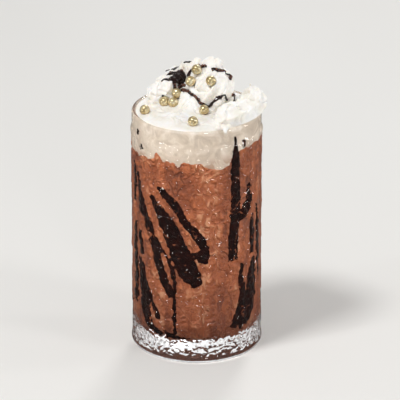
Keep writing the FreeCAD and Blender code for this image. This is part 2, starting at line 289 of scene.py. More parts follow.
@dataclass(frozen=True)
class FrappeFinish:
    """Blended coffee and milk with fine foam: cloudy browns, darker towards the bottom; painted light and shade for the
    glass relief's refraction makes vertical bands and part of the mottle, the rest of which is the foam's own.
    """

    name: str = "blended_mocha"
    body: tuple = ((0.0, "6d3317"), (0.35, "9d5129"), (0.7, "ba683a"), (1.0, "dba178"))
    deep: str = "68280c"
    deep_from_mm: float = 70.0
    deep_to_mm: float = 10.0
    mottle_scale: float = 230.0
    mottle_depth_mm: float = 1.2
    relief_shade_scale: float = 105.0

    def make(self) -> bpy.types.Material:
        """Build the material."""
        made, make, shader = new_material(self.name, Roughness=0.55)
        parts = make.group(uneven_group(), Cloud_Scale=95.0, Speck_Scale=1100.0, Speck_Share=0.6)
        place = make.node("ShaderNodeTexCoord").outputs["Object"]
        tall = make.vector("MULTIPLY", place, (1.0, 1.0, 0.7))
        # The mottle is partly the foam's own texture and partly painted light and shade standing in for the glass
        # relief's refraction; it also drives a real bump.
        mottle = make.noise(tall, self.mottle_scale, 3.0, 0.6, 0.9).outputs[0]
        mottle = make.spread(mottle, 0.36, 0.66)
        # Painted light and shade: soft vertical light and dark bands standing in for the glass columns seen through the
        # wall.
        long = make.vector("MULTIPLY", place, (1.0, 1.0, 0.09))
        columns = make.spread(make.noise(long, self.relief_shade_scale, 2.0).outputs[0], 0.38, 0.62)
        tone = make.math("MULTIPLY", parts.outputs["Tone"], 0.2)
        for part, weight in ((mottle, 0.46), (columns, 0.34)):
            tone = make.math("ADD", tone, make.math("MULTIPLY", part, weight))
        colour = make.ramp(tone, self.body)
        foam = make.math("MULTIPLY", parts.outputs["Specks"], 0.3)
        colour = make.blend(foam, colour, srgb("cf9f7e"))
        height = make.node("ShaderNodeSeparateXYZ", {0: place}).outputs["Z"]
        low = make.spread(height, self.deep_from_mm * MM, self.deep_to_mm * MM, 0.0, 0.5)
        make.feed(shader.inputs["Base Color"], make.blend(low, colour, srgb(self.deep)))
        bump(make, shader, mottle, self.mottle_depth_mm)
        return made


@dataclass(frozen=True)
class CreamFinish:
    """Whipped cream: warm white, softly lit through, with painted shade, mottled beige and grey, where it lies inside
    the glass below the rim.
    """

    name: str = "whipped_cream"
    top: tuple = ((0.0, "f8f1e6"), (0.6, "fefaf3"), (1.0, "fffdf9"))
    # Painted shade: the mottled beige and grey of the cream inside the glass below the rim.
    layer: tuple = ((0.32, "b8a692"), (0.5, "d2c2ae"), (0.66, "e8dccd"))
    stain: str = "a9805f"
    stain_scale: float = 105.0
    stain_from_mm: float = 137.0
    stain_to_mm: float = 128.0
    rim_mm: float = 151.0

    def make(self) -> bpy.types.Material:
        """Build the material."""
        made, make, shader = new_material(self.name, Roughness=0.5, Subsurface_Weight=0.25,
                                          Subsurface_Scale=0.002)
        shader.inputs["Subsurface Radius"].default_value = (1.0, 0.8, 0.6)
        parts = make.group(uneven_group(), Cloud_Scale=120.0, Speck_Scale=1400.0, Speck_Share=0.5)
        colour = make.ramp(parts.outputs["Tone"], self.top)
        place = make.node("ShaderNodeTexCoord").outputs["Object"]
        height = make.node("ShaderNodeSeparateXYZ", {0: place}).outputs["Z"]
        # Painted shade: how far the cream below the rim turns to the darker layer colours.
        inside = make.spread(height, (self.rim_mm - 0.2) * MM, (self.rim_mm - 2.2) * MM, 0.0, 0.9)
        mottle = make.noise(place, self.stain_scale, 4.0, 0.6, 1.2).outputs[0]
        layer = make.ramp(mottle, self.layer)
        colour = make.blend(inside, colour, layer)
        near = make.spread(height, self.stain_from_mm * MM, self.stain_to_mm * MM)
        blot = make.math("MULTIPLY", make.spread(mottle, 0.5, 0.62), near)
        colour = make.blend(make.math("MULTIPLY", blot, 0.75), colour, srgb(self.stain))
        make.feed(shader.inputs["Base Color"], colour)
        bump(make, shader, parts.outputs["Height"], 0.18)
        return made


@dataclass(frozen=True)
class PearlFinish:
    """Sugar pearls with a pale gold lustre."""

    name: str = "gold_lustre"
    tones: tuple = ((0.0, "b09866"), (0.5, "d6c397"), (1.0, "f1e7c8"))

    def make(self) -> bpy.types.Material:
        """Build the material."""
        made, make, shader = new_material(self.name, Metallic=0.6)
        parts = make.group(uneven_group(), Cloud_Scale=400.0, Speck_Scale=2500.0, Speck_Share=0.6)
        make.feed(shader.inputs["Base Color"], make.ramp(parts.outputs["Tone"], self.tones))
        make.feed(shader.inputs["Roughness"], make.spread(parts.outputs["Specks"], 0.0, 1.0, 0.24, 0.42))
        bump(make, shader, parts.outputs["Height"], 0.04)
        return made


@dataclass(frozen=True)
class SyrupFinish:
    """Dark chocolate syrup, wet and glossy."""

    name: str
    thin: str = "240804"
    thick: str = "100302"
    gloss: float = 0.12
    coat: float = 0.25
    shine: float = 0.35
    fleck_share: float = 0.0

    def make(self) -> bpy.types.Material:
        """Build the material."""
        made, make, shader = new_material(self.name, Coat_Weight=self.coat, Coat_Roughness=0.05,
                                          Specular_IOR_Level=self.shine)
        parts = make.group(uneven_group(), Cloud_Scale=220.0, Speck_Scale=1500.0, Speck_Share=0.2)
        colour = make.blend(parts.outputs["Tone"], srgb(self.thick), srgb(self.thin))
        if self.fleck_share:
            place = make.node("ShaderNodeTexCoord").outputs["Object"]
            flecks = make.noise(place, 260.0, 3.0, 0.6, 0.8).outputs[0]
            flecks = make.math("MULTIPLY", make.spread(flecks, 0.63, 0.68), self.fleck_share)
            colour = make.blend(flecks, colour, srgb("9a583a"))
        make.feed(shader.inputs["Base Color"], colour)
        rough = make.spread(parts.outputs["Specks"], 0.0, 1.0, self.gloss, self.gloss + 0.15)
        make.feed(shader.inputs["Roughness"], rough)
        bump(make, shader, parts.outputs["Height"], 0.12)
        return made


def mesh_object(name: str, verts: list, faces: list) -> bpy.types.Object:
    """A linked object of those points and faces, with smooth faces turned outwards.

    Args:
        name: The object's name.
        verts: Points in metres.
        faces: Lists of point numbers.

    Returns:
        The object.
    """
    mesh = bpy.data.meshes.new(name)
    mesh.from_pydata([tuple(vert) for vert in verts], [], faces)
    made = bpy.data.objects.new(name, mesh)
    bpy.context.scene.collection.objects.link(made)
    tidy_normals(made)
    return made


def tidy_normals(piece: bpy.types.Object, merge_mm: float = 0.001) -> None:
    """Merge doubles, turn the faces outwards and shade them smooth."""
    work = bmesh.new()
    work.from_mesh(piece.data)
    bmesh.ops.remove_doubles(work, verts=work.verts, dist=merge_mm * MM)
    bmesh.ops.recalc_face_normals(work, faces=work.faces)
    work.to_mesh(piece.data)
    work.free()
    piece.data.polygons.foreach_set("use_smooth", [True] * len(piece.data.polygons))
    piece.data.update()


def turned_shell(name: str, outline: list, steps: int) -> bpy.types.Object:
    """A closed shell turned round Z.

    Args:
        name: The object's name.
        outline: (radius, height) pairs in millimetres; the first and last lie on the axis.
        steps: Divisions round the axis.

    Returns:
        The object.
    """
    verts = [(0.0, 0.0, outline[0][1] * MM)]
    for radius, height in outline[1:-1]:
        for step in range(steps):
            angle = 2 * math.pi * step / steps
            verts.append((radius * MM * math.sin(angle), -radius * MM * math.cos(angle), height * MM))
    verts.append((0.0, 0.0, outline[-1][1] * MM))
    last = len(verts) - 1
    rings = len(outline) - 2
    faces = []
    for step in range(steps):
        after = (step + 1) % steps
        faces.append((0, 1 + after, 1 + step))
        for ring in range(rings - 1):
            low = 1 + ring * steps
            high = low + steps
            faces.append((low + step, low + after, high + after, high + step))
        top = 1 + (rings - 1) * steps
        faces.append((top + step, top + after, last))
    return mesh_object(name, verts, faces)


def run(first: float, second: float, pitch: float) -> list[float]:
    """Even steps from one number to another, both ends in.

    Args:
        first: The start.
        second: The end.
        pitch: About how far apart the steps are.

    Returns:
        The numbers.
    """
    count = max(1, round(abs(second - first) / pitch))
    return [first + (second - first) * step / count for step in range(count + 1)]


def evaluated(piece: bpy.types.Object) -> None:
    """Turn a piece with live modifiers, mesh or curve, into a plain mesh object's data in place of it.

    Args:
        piece: A mesh object; its modifiers are removed afterwards.
    """
    bpy.context.view_layer.update()
    graph = bpy.context.evaluated_depsgraph_get()
    mesh = bpy.data.meshes.new_from_object(piece.evaluated_get(graph))
    piece.modifiers.clear()
    mesh.name = piece.name
    piece.data = mesh


def curve_to_piece(curve: bpy.types.Object) -> bpy.types.Object:
    """The plain mesh object that a curve object with modifiers gives; the curve is removed.

    Args:
        curve: The curve object.

    Returns:
        A linked mesh object with the same name.
    """
    bpy.context.view_layer.update()
    graph = bpy.context.evaluated_depsgraph_get()
    mesh = bpy.data.meshes.new_from_object(curve.evaluated_get(graph))
    name = curve.name
    bpy.data.objects.remove(curve)
    made = bpy.data.objects.new(name, mesh)
    mesh.name = name
    bpy.context.scene.collection.objects.link(made)
    return made


def add_nodes(piece: bpy.types.Object, tree: bpy.types.NodeTree, **values: object) -> None:
    """Put a geometry tree on a piece and set its inputs.

    Args:
        piece: The object that takes the modifier.
        tree: The geometry tree.
        values: Input values by name, underscores standing for spaces.
    """
    modifier = piece.modifiers.new(tree.name, "NODES")
    modifier.node_group = tree
    for item in tree.interface.items_tree:
        label = item.name.replace(" ", "_")
        if item.item_type == "SOCKET" and item.in_out == "INPUT" and label in values:
            modifier[item.identifier] = values[label]


def remesh(piece: bpy.types.Object, voxel_mm: float, smooth: int = 0, keep: float = 1.0) -> None:
    """Voxel remesh a piece, smooth it a number of times and keep a share of its faces."""
    modifier = piece.modifiers.new("remesh", "REMESH")
    modifier.mode = "VOXEL"
    modifier.voxel_size = voxel_mm * MM
    if smooth:
        soften = piece.modifiers.new("soften", "SMOOTH")
        soften.factor = 0.5
        soften.iterations = smooth
    if keep < 1.0:
        piece.modifiers.new("thin_out", "DECIMATE").ratio = keep


def points_of(piece: bpy.types.Object) -> np.ndarray:
    """A piece's points, in millimetres, one row each."""
    flat = np.zeros(len(piece.data.vertices) * 3)
    piece.data.vertices.foreach_get("co", flat)
    return flat.reshape(-1, 3) / MM


def set_points(piece: bpy.types.Object, points: np.ndarray) -> None:
    """Write a piece's points, given in millimetres."""
    piece.data.vertices.foreach_set("co", (points * MM).ravel())
    piece.data.update()


def dress(piece: bpy.types.Object, material: bpy.types.Material) -> None:
    """Give the whole piece one material."""
    piece.data.materials.clear()
    piece.data.materials.append(material)
    piece.data.polygons.foreach_set("material_index", [0] * len(piece.data.polygons))
    piece.data.polygons.foreach_set("use_smooth", [True] * len(piece.data.polygons))


def enter(piece: bpy.types.Object, slot: Slot, *nodes: str) -> None:
    """Ride the piece on the root body, hide the CAD nodes that it stands for and log its face count.

    Args:
        piece: The finished piece.
        slot: Its material slot; not used.
        nodes: The CAD nodes that it replaces.
    """
    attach(piece, "root")
    if nodes:
        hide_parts(*nodes)
    log.info("%s: %d faces", piece.name, len(piece.data.polygons))


@dataclass(frozen=True)
class Cavity:
    """The inside of the glass, which everything in it follows."""

    bore_mm: float = 36.4
    floor_mm: float = 11.0
    bend_mm: float = 14.0
    rim_mm: float = 151.0

    def radius(self, height: float) -> float:
        """Radius of the cavity at a height, both in millimetres."""
        drop = max(0.0, self.floor_mm + self.bend_mm - height)
        return self.bore_mm - self.bend_mm + math.sqrt(max(0.0, self.bend_mm ** 2 - min(drop, self.bend_mm) ** 2))

    def outline(self, grow: float, top: float, pitch: float) -> list[tuple[float, float]]:
        """The cavity's outline from its floor's middle up the wall.

        Args:
            grow: How far the outline reaches into the glass.
            top: Height at which it ends.
            pitch: About how far apart its points are.

        Returns:
            (radius, height) pairs in millimetres.
        """
        flat = self.bore_mm - self.bend_mm
        level = self.floor_mm - grow
        bend = self.bend_mm + grow
        pairs = [(radius, level) for radius in run(0.0, flat, pitch * 2)]
        pairs += [(flat + bend * math.sin(angle), level + bend - bend * math.cos(angle))
                  for angle in run(0.0, math.pi / 2, pitch / bend)[1:]]
        pairs += [(self.bore_mm + grow, height) for height in run(level + bend, top, pitch)[1:]]
        return pairs


@dataclass(frozen=True)
class Tongue:
    """A place where cream and drink reach into each other: angle, half width in degrees, and rise."""

    angle: float
    width: float
    rise_mm: float


@dataclass(frozen=True)
class Meeting:
    """The line round the glass where the cream meets the drink."""

    mean_mm: float = 132.0
    tilt_mm: float = 4.2
    ripple_mm: float = 0.8
    tongues: tuple = (Tongue(-38, 4, 5.0), Tongue(-17, 3, -3.2), Tongue(-2, 8, -1.5), Tongue(14, 8, -6.0),
                      Tongue(27, 8, -7.5), Tongue(48, 12, 1.0), Tongue(118, 14, -4.0), Tongue(163, 7, 3.5),
                      Tongue(-142, 11, -5.0), Tongue(-104, 6, 3.0))

    def height(self, x: float, y: float, wall: float) -> float:
        """Height of the meeting surface over a point.

        Args:
            x: Place to the right, in millimetres.
            y: Place to the back.
            wall: Radius at which the surface meets the wall.

        Returns:
            The height in millimetres.
        """
        angle = math.degrees(math.atan2(x, -y))
        share = min(1.0, math.hypot(x, y) / wall)
        rise = self.tilt_mm * math.sin(math.radians(angle))
        for tongue in self.tongues:
            away = abs((angle - tongue.angle + 180) % 360 - 180) / tongue.width
            rise += tongue.rise_mm * math.exp(-away ** 2.6)
        rise += self.ripple_mm * noise.noise(Vector((x * 0.22, y * 0.22, 3.0)))
        rise += self.ripple_mm * 0.7 * noise.noise(Vector((x * 0.6, y * 0.6, 9.0)))
        return self.mean_mm + rise * share ** 3


@dataclass
class Tumbler:
    """The pressed glass: a turned shell whose outside is covered with short uneven columns, like bark."""

    cavity: Cavity
    finish: GlassFinish = field(default_factory=GlassFinish)
    wall_mm: float = 40.0
    lip_mm: float = 39.0
    band_mm: float = 9.0
    slope_mm: float = 3.0
    lip_round_mm: float = 1.1
    foot_round_mm: float = 3.0
    columns: int = 31
    cell_mm: float = 11.0
    depth_mm: float = 1.25
    ripple_mm: float = 0.3
    low_mm: float = 2.5
    seed: int = 4
    steps: int = 341
    pitch_mm: float = 0.78

    def outline(self) -> list[tuple[float, float]]:
        """The wall's outline, from the middle of the underside, out, up, over the rim and down the bore.

        Returns:
            (radius, height) pairs in millimetres.
        """
        band = self.cavity.rim_mm - self.band_mm
        foot = self.foot_round_mm
        pairs = [(radius, 0.0) for radius in run(0.0, self.wall_mm - foot, 3.0)]
        pairs += [(self.wall_mm - foot + foot * math.sin(angle), foot - foot * math.cos(angle))
                  for angle in run(0.0, math.pi / 2, 0.2)[1:]]
        pairs += [(self.wall_mm, height) for height in run(foot, band - self.slope_mm, self.pitch_mm)[1:]]
        pairs += [(self.wall_mm + (self.lip_mm - self.wall_mm) * share, band - self.slope_mm * (1 - share))
                  for share in run(0.0, 1.0, 0.25)[1:]]
        top = self.cavity.rim_mm - self.lip_round_mm
        pairs += [(self.lip_mm, height) for height in run(band, top, 1.2)[1:]]
        for middle, start in ((self.lip_mm - self.lip_round_mm, 0.0),
                              (self.cavity.bore_mm + self.lip_round_mm, math.pi / 2)):
            pairs += [(middle + self.lip_round_mm * math.cos(angle), top + self.lip_round_mm * math.sin(angle))
                      for angle in run(start, start + math.pi / 2, 0.26)[1:]]
        inner = self.cavity.outline(0.0, top, 3.0)
        return pairs + inner[::-1][1:]

    def relief(self) -> bpy.types.NodeTree:
        """The geometry tree that cuts the columns into the outside of the wall.

        Returns:
            The tree.
        """
        tree = bpy.data.node_groups.new("bark_relief", "GeometryNodeTree")
        tree.interface.new_socket("Geometry", in_out="INPUT", socket_type="NodeSocketGeometry")
        for name in ("Columns", "Cell Height", "Depth", "Ripple", "Low End", "High End", "Fade", "Wall"):
            tree.interface.new_socket(name, in_out="INPUT", socket_type="NodeSocketFloat")
        tree.interface.new_socket("Seed", in_out="INPUT", socket_type="NodeSocketFloat")
        tree.interface.new_socket("Material", in_out="INPUT", socket_type="NodeSocketMaterial")
        tree.interface.new_socket("Geometry", in_out="OUTPUT", socket_type="NodeSocketGeometry")
        make = Tree(tree)
        given = make.node("NodeGroupInput").outputs
        place = make.node("GeometryNodeInputPosition").outputs[0]
        axes = make.node("ShaderNodeSeparateXYZ", {0: place}).outputs
        turn = make.math("ARCTAN2", axes["X"], make.math("MULTIPLY", axes["Y"], -1.0))
        around = make.math("ADD", make.math("DIVIDE", turn, 2 * math.pi), 0.5)
        flat = make.node("ShaderNodeCombineXYZ", {0: axes["X"], 1: axes["Y"],
                                                  2: make.math("MULTIPLY", axes["Z"], 0.55)}).outputs[0]
        sway = make.math("SUBTRACT", make.noise(flat, 55.0, 2.0).outputs[0], 0.5)
        column = make.math("ADD", make.math("MULTIPLY", around, given["Columns"]), make.math("MULTIPLY", sway, 1.1))
        column = make.math("WRAP", column, given["Columns"], 0.0)
        number = make.math("FLOOR", column)
        across = make.math("FRACT", column)
        first = make.node("ShaderNodeCombineXYZ", {0: number, 1: given["Seed"], 2: 0.5}).outputs[0]
        shift = make.node("ShaderNodeTexWhiteNoise", {"Vector": first}).outputs["Value"]
        level = make.math("ADD", make.math("DIVIDE", axes["Z"], given["Cell Height"]),
                          make.math("MULTIPLY", shift, 9.0))
        uneven = make.math("SUBTRACT", make.noise(place, 140.0, 2.0).outputs[0], 0.5)
        level = make.math("ADD", level, make.math("MULTIPLY", uneven, 0.9))
        cell = make.math("FLOOR", level)
        up = make.math("FRACT", level)
        second = make.node("ShaderNodeCombineXYZ", {0: number, 1: cell, 2: given["Seed"]}).outputs[0]
        chance = make.node("ShaderNodeSeparateXYZ",
                           {0: make.node("ShaderNodeTexWhiteNoise", {"Vector": second}).outputs["Color"]}).outputs
        side = make.math("SUBTRACT", across, 0.5)
        valley = make.math("POWER", make.math("ABSOLUTE", make.math("MULTIPLY", side, 2.0)), 2.5)
        lean = make.math("MULTIPLY", side, make.math("SUBTRACT", chance[0], 0.5))
        slope = make.math("MULTIPLY", make.math("SUBTRACT", up, 0.5), make.math("SUBTRACT", chance[1], 0.25))
        notch = make.spread(make.math("ABSOLUTE", make.math("SUBTRACT", up, 0.5)), 0.36, 0.5, 0.0, 0.35)
        cut = make.math("MULTIPLY", valley, 0.5)
        for part, weight in ((lean, 0.9), (slope, 0.55), (notch, 0.8), (chance[2], 0.3)):
            cut = make.math("ADD", cut, make.math("MULTIPLY", part, weight))
        cut = make.math("ADD", cut, 0.25)
        cut = make.math("MINIMUM", make.math("MAXIMUM", cut, 0.0), 1.15)
        waves = make.math("SUBTRACT", make.noise(place, 480.0, 2.0, 0.6).outputs[0], 0.35)
        depth = make.math("ADD", make.math("MULTIPLY", cut, given["Depth"]),
                          make.math("MULTIPLY", waves, given["Ripple"]))
        foot = make.spread(axes["Z"], given["Low End"], make.math("ADD", given["Low End"], given["Fade"]))
        head = make.spread(axes["Z"], given["High End"], make.math("SUBTRACT", given["High End"], given["Fade"]))
        reach = make.node("ShaderNodeVectorMath", {0: place}, operation="MULTIPLY")
        reach.inputs[1].default_value = (1.0, 1.0, 0.0)
        radial = reach.outputs[0]
        length = make.node("ShaderNodeVectorMath", {0: radial}, operation="LENGTH").outputs["Value"]
        outside = make.spread(length, make.math("SUBTRACT", given["Wall"], 0.0012),
                              make.math("SUBTRACT", given["Wall"], 0.0002))
        for share in (foot, head, outside):
            depth = make.math("MULTIPLY", depth, share)
        inward = make.scaled(make.vector("NORMALIZE", radial), make.math("MULTIPLY", depth, -1.0))
        moved = make.node("GeometryNodeSetPosition", {"Geometry": given["Geometry"], "Offset": inward}).outputs[0]
        whole = make.node("GeometryNodeRealizeInstances", {0: moved}).outputs[0]
        dressed = make.node("GeometryNodeSetMaterial", {"Geometry": whole, "Material": given["Material"]})
        make.node("NodeGroupOutput", {0: dressed.outputs[0]})
        return tree

    def build(self) -> bpy.types.Object:
        """Turn the wall, cut its relief and dress it."""
        piece = turned_shell("glass_tumbler", self.outline(), self.steps)
        material = self.finish.make()
        top = self.cavity.rim_mm - self.band_mm - self.slope_mm
        add_nodes(piece, self.relief(), Columns=float(self.columns), Cell_Height=self.cell_mm * MM,
                  Depth=self.depth_mm * MM, Ripple=self.ripple_mm * MM, Low_End=self.low_mm * MM,
                  High_End=(top + 1.5) * MM, Fade=5 * MM, Wall=self.wall_mm * MM, Seed=float(self.seed),
                  Material=material)
        evaluated(piece)
        dress(piece, material)
        enter(piece, Slot.GLASS, "tumbler")
        return piece


@dataclass
class Drink:
    """The blended drink, which reaches a little into the wall so that no air shows."""

    cavity: Cavity
    meeting: Meeting
    finish: FrappeFinish = field(default_factory=FrappeFinish)
    grow_mm: float = 0.3
    stretch_from_mm: float = 105.0
    steps: int = 360
    pitch_mm: float = 1.0

    def build(self) -> bpy.types.Object:
        """Turn the drink, and raise its top to the meeting line."""
        side = self.cavity.outline(self.grow_mm, self.meeting.mean_mm, self.pitch_mm)
        wall = self.cavity.bore_mm + self.grow_mm
        top = [(radius, self.meeting.mean_mm) for radius in run(wall, 0.0, 0.9)[1:]]
        piece = turned_shell("blended_drink", side + top, self.steps)
        points = points_of(piece)
        for point in points:
            share = (point[2] - self.stretch_from_mm) / (self.meeting.mean_mm - self.stretch_from_mm)
            if share > 0:
                level = self.meeting.height(point[0], point[1], wall)
                point[2] += share * (level - self.meeting.mean_mm)
        set_points(piece, points)
        dress(piece, self.finish.make())
        enter(piece, Slot.FRAPPE, "frappe")
        return piece


@dataclass
class Cream:
    """The whipped cream: the frame's heap, softened, with the fine roughness of whipped cream."""

    cavity: Cavity
    meeting: Meeting
    finish: CreamFinish = field(default_factory=CreamFinish)
    voxel_mm: float = 0.52
    into_wall_mm: float = 0.15
    hold_mm: float = 147.0
    fluff_mm: float = 0.5
    fluff_scale: float = 0.28
    crease_mm: float = 1.3
    crease_scale: float = 0.12

    def build(self) -> bpy.types.Object:
        """Copy the frame's heap and finish it."""
        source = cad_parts["whipped_cream"]
        piece = bpy.data.objects.new("piped_cream", source.data.copy())
        bpy.context.scene.collection.objects.link(piece)
        tidy_normals(piece)
        remesh(piece, self.voxel_mm, 3)
        evaluated(piece)
        points = points_of(piece)
        points = self.fit_glass(points)
        set_points(piece, points)
        self.fluff(piece)
        dress(piece, self.finish.make())
        enter(piece, Slot.CREAM, "whipped_cream")
        return piece

    def fit_glass(self, points: np.ndarray) -> np.ndarray:
        """Move the layer's side into the wall and its underside onto the meeting surface.

        Args:
            points: The piece's points in millimetres.

        Returns:
            The moved points.
        """
        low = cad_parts["whipped_cream"]
        work = bmesh.new()
        work.from_mesh(low.data)
        seen = BVHTree.FromBMesh(work)
        work.free()
        wall = self.cavity.bore_mm + self.into_wall_mm
        for point in points:
            if point[2] > self.hold_mm + 3:
                continue
            reach = math.hypot(point[0], point[1])
            if point[2] < self.hold_mm:
                inner = min(1.0, (self.cavity.bore_mm - 0.8) / reach) if reach else 1.0
                hit = seen.ray_cast(Vector((point[0] * inner * MM, point[1] * inner * MM, 0.1)), Vector((0, 0, 1)))
                under = hit[0].z / MM if hit[0] else self.meeting.mean_mm
                share = min(1.0, max(0.0, (self.hold_mm - point[2]) / (self.hold_mm - under)))
                level = self.meeting.height(point[0], point[1], wall) - 0.4
                point[2] = self.hold_mm - share * (self.hold_mm - level)
            if reach > self.cavity.bore_mm - 0.9 and point[2] < self.hold_mm + 2.5:
                point[:2] *= wall / reach
        return points

    def fluff(self, piece: bpy.types.Object) -> None:
        """Roughen the heap above the rim with creases and small soft folds."""
        normals = np.zeros(len(piece.data.vertices) * 3)
        piece.data.vertices.foreach_get("normal", normals)
        normals = normals.reshape(-1, 3)
        points = points_of(piece)
        start = self.cavity.rim_mm + 0.6
        for point, normal in zip(points, normals):
            if point[2] < start:
                continue
            share = min(1.0, (point[2] - start) / 2)
            here = Vector(point)
            bend = noise.noise_vector(here * 0.09) * 4.0
            crease = abs(noise.noise((here + bend) * self.crease_scale))
            push = self.fluff_mm * noise.fractal(here * self.fluff_scale, 0.9, 2.1, 3)
            push -= self.crease_mm * max(0.0, 1.0 - crease / 0.16) ** 1.5
            point += normal * (push * share)
        set_points(piece, points)


@dataclass(frozen=True)
class Streak:
    """Syrup run down inside the glass: (angle, height, half width) stops, in degrees and millimetres."""

    stops: tuple


@dataclass
class WallSyrup:
    """The syrup streaks between glass and drink."""

    cavity: Cavity
    material: bpy.types.Material
    spread: float = 1.15
    reach_mm: float = 0.45
    sink_mm: float = 0.1
    thick_mm: float = 2.4
    rough_mm: float = 5.2
    rough_scale: float = 260.0
    seed: int = 7
    streaks: tuple = (
        Streak(((-38, 113, 1.4), (-30, 108, 2.6), (-20, 104, 2.4), (-10, 92, 2.4), (3, 82, 2.7), (9, 74, 2.9),
                (6, 66, 2.7))),
        Streak(((9, 76, 2.2), (2, 71, 2.2), (-9, 70, 2.2))),
        Streak(((-47, 106, 1.4), (-36, 98, 3.3), (-27, 89, 5.0), (-19, 77, 5.3), (-11, 65, 5.8), (-5, 58, 5.8),
                (2, 51, 2.8))),
        Streak(((-62, 104, 1.6), (-52, 90, 2.6), (-43, 76, 3.2), (-37, 62, 2.7), (-29, 50, 3.1), (-24, 42, 1.4))),
        Streak(((-41, 80, 1.0), (-32, 71, 1.2), (-23, 63, 1.3), (-22, 54, 1.2))),
        Streak(((-21, 57, 1.1), (-21, 36, 1.0), (-21, 15, 1.1))),
        Streak(((-66, 117, 1.9), (-63, 102, 2.4), (-60, 91, 2.0))),
        Streak(((-63, 80, 1.7), (-59, 64, 1.6))),
        Streak(((-63, 62, 2.2), (-58, 48, 4.2), (-54, 37, 4.6), (-55, 27, 4.0), (-47, 18, 3.0), (-36, 14, 1.8))),
        Streak(((-72, 84, 1.4), (-74, 66, 2.2), (-70, 48, 2.4), (-72, 30, 2.0))),
        Streak(((-74, 122, 1.2), (-72, 108, 1.8), (-74, 96, 1.4))),
        Streak(((-49, 42, 1.5), (-42, 33, 2.1), (-37, 25, 1.5))),
        Streak(((-34, 17, 1.9), (-20, 14.5, 2.0), (-6, 12.8, 2.2), (8, 12.8, 2.0), (24, 14, 1.4))),
        Streak(((38, 145, 0.7), (38, 138, 1.1), (38, 130, 2.7), (39, 112, 3.0), (38, 92, 3.1), (36, 76, 3.8), (35, 65, 2.8))),
        Streak(((55, 112, 1.6), (55, 100, 3.0), (51, 94, 3.6), (42, 92, 2.8))),
        Streak(((60, 90, 1.7), (62, 77, 2.3), (60, 65, 1.7))),
        Streak(((47, 61, 1.4), (43, 53, 1.8), (48, 42, 2.2), (44, 32, 2.4), (36, 20, 2.6))),
        Streak(((64, 62, 2.2), (61, 49, 4.4), (60, 38, 5.6), (54, 28, 5.6), (43, 20, 4.0))),
        Streak(((70, 96, 1.3), (73, 80, 1.8), (72, 62, 1.8), (75, 46, 1.4))),
        Streak(((48, 141, 1.2), (49, 137, 1.0))),
        Streak(((-61, 137, 1.1), (-58, 133, 0.9))),
        Streak(((-65, 144, 1.0), (-68, 140, 0.9))),
        Streak(((98, 124, 2.2), (104, 104, 2.8), (116, 88, 3.4), (112, 70, 2.6), (120, 52, 1.8))),
        Streak(((140, 112, 2.0), (150, 96, 3.4), (165, 82, 4.4), (158, 66, 3.8), (170, 50, 2.0), (172, 34, 1.0))),
        Streak(((182, 128, 2.0), (186, 108, 3.2), (184, 90, 3.2), (192, 74, 1.6))),
        Streak(((214, 118, 2.0), (222, 100, 3.4), (236, 86, 4.2), (232, 70, 3.0), (244, 56, 2.0), (240, 44, 1.2))),
        Streak(((262, 120, 1.4), (258, 104, 2.6), (266, 88, 2.8), (262, 72, 1.6))),
        Streak(((90, 30, 1.4), (112, 20, 2.4), (140, 15, 2.0), (170, 13, 1.8))),
        Streak(((205, 26, 1.6), (232, 18, 2.4), (262, 22, 2.0), (276, 30, 1.4))),
    )

    def flat_curves(self) -> bpy.types.Object:
        """The streaks as curves on the unrolled wall: arc along X, height along Z, radius as width.

        Returns:
            The curve object.
        """
        data = bpy.data.curves.new("wall_syrup", "CURVE")
        data.dimensions = "3D"
        for streak in self.streaks:
            line = data.splines.new("NURBS")
            line.points.add(len(streak.stops) - 1)
            for point, (angle, height, half) in zip(line.points, streak.stops):
                arc = math.radians(angle) * self.cavity.bore_mm
                point.co = (arc * MM, 0.0, height * MM, 1.0)
                point.radius = half * self.spread
            line.order_u = 3
            line.use_endpoint_u = True
            line.resolution_u = 10
        made = bpy.data.objects.new("wall_syrup", data)
        bpy.context.scene.collection.objects.link(made)
        return made

    def sweep(self) -> bpy.types.NodeTree:
        """The geometry tree that sweeps, flattens and roughens the streaks and wraps them round the bore.

        Returns:
            The tree.
        """
        tree = bpy.data.node_groups.new("streak_sweep", "GeometryNodeTree")
        tree.interface.new_socket("Geometry", in_out="INPUT", socket_type="NodeSocketGeometry")
        for name in ("Bore", "Bend", "Bend Top", "Reach", "Sink", "Thickness", "Roughness", "Grain"):
            tree.interface.new_socket(name, in_out="INPUT", socket_type="NodeSocketFloat")
        tree.interface.new_socket("Material", in_out="INPUT", socket_type="NodeSocketMaterial")
        tree.interface.new_socket("Geometry", in_out="OUTPUT", socket_type="NodeSocketGeometry")
        make = Tree(tree)
        given = make.node("NodeGroupInput").outputs
        radius = make.node("GeometryNodeInputRadius").outputs[0]
        ring = make.node("GeometryNodeCurvePrimitiveCircle", {"Resolution": 24, "Radius": MM}).outputs[0]
        line = make.node("GeometryNodeResampleCurve", {"Curve": given["Geometry"]}, mode="LENGTH")
        line.inputs["Length"].default_value = 0.0006
        swept = make.node("GeometryNodeCurveToMesh", {"Curve": line.outputs[0], "Profile Curve": ring,
                                                      "Scale": radius, "Fill Caps": True}).outputs[0]
        place = make.node("GeometryNodeInputPosition").outputs[0]
        ragged = make.noise(place, given["Grain"], 4.0, 0.7).outputs["Color"]
        ragged = make.node("ShaderNodeVectorMath", {0: ragged}, operation="SUBTRACT")
        ragged.inputs[1].default_value = (0.5, 0.5, 0.5)
        ragged = make.vector("MULTIPLY", ragged.outputs[0], (1.0, 0.0, 1.0))
        frayed = make.vector("ADD", place, make.scaled(ragged, given["Roughness"]))
        axes = make.node("ShaderNodeSeparateXYZ", {0: frayed}).outputs
        out = make.math("MULTIPLY", axes["Y"], given["Thickness"])
        out = make.math("MINIMUM", make.math("SUBTRACT", out, given["Sink"]), given["Reach"])
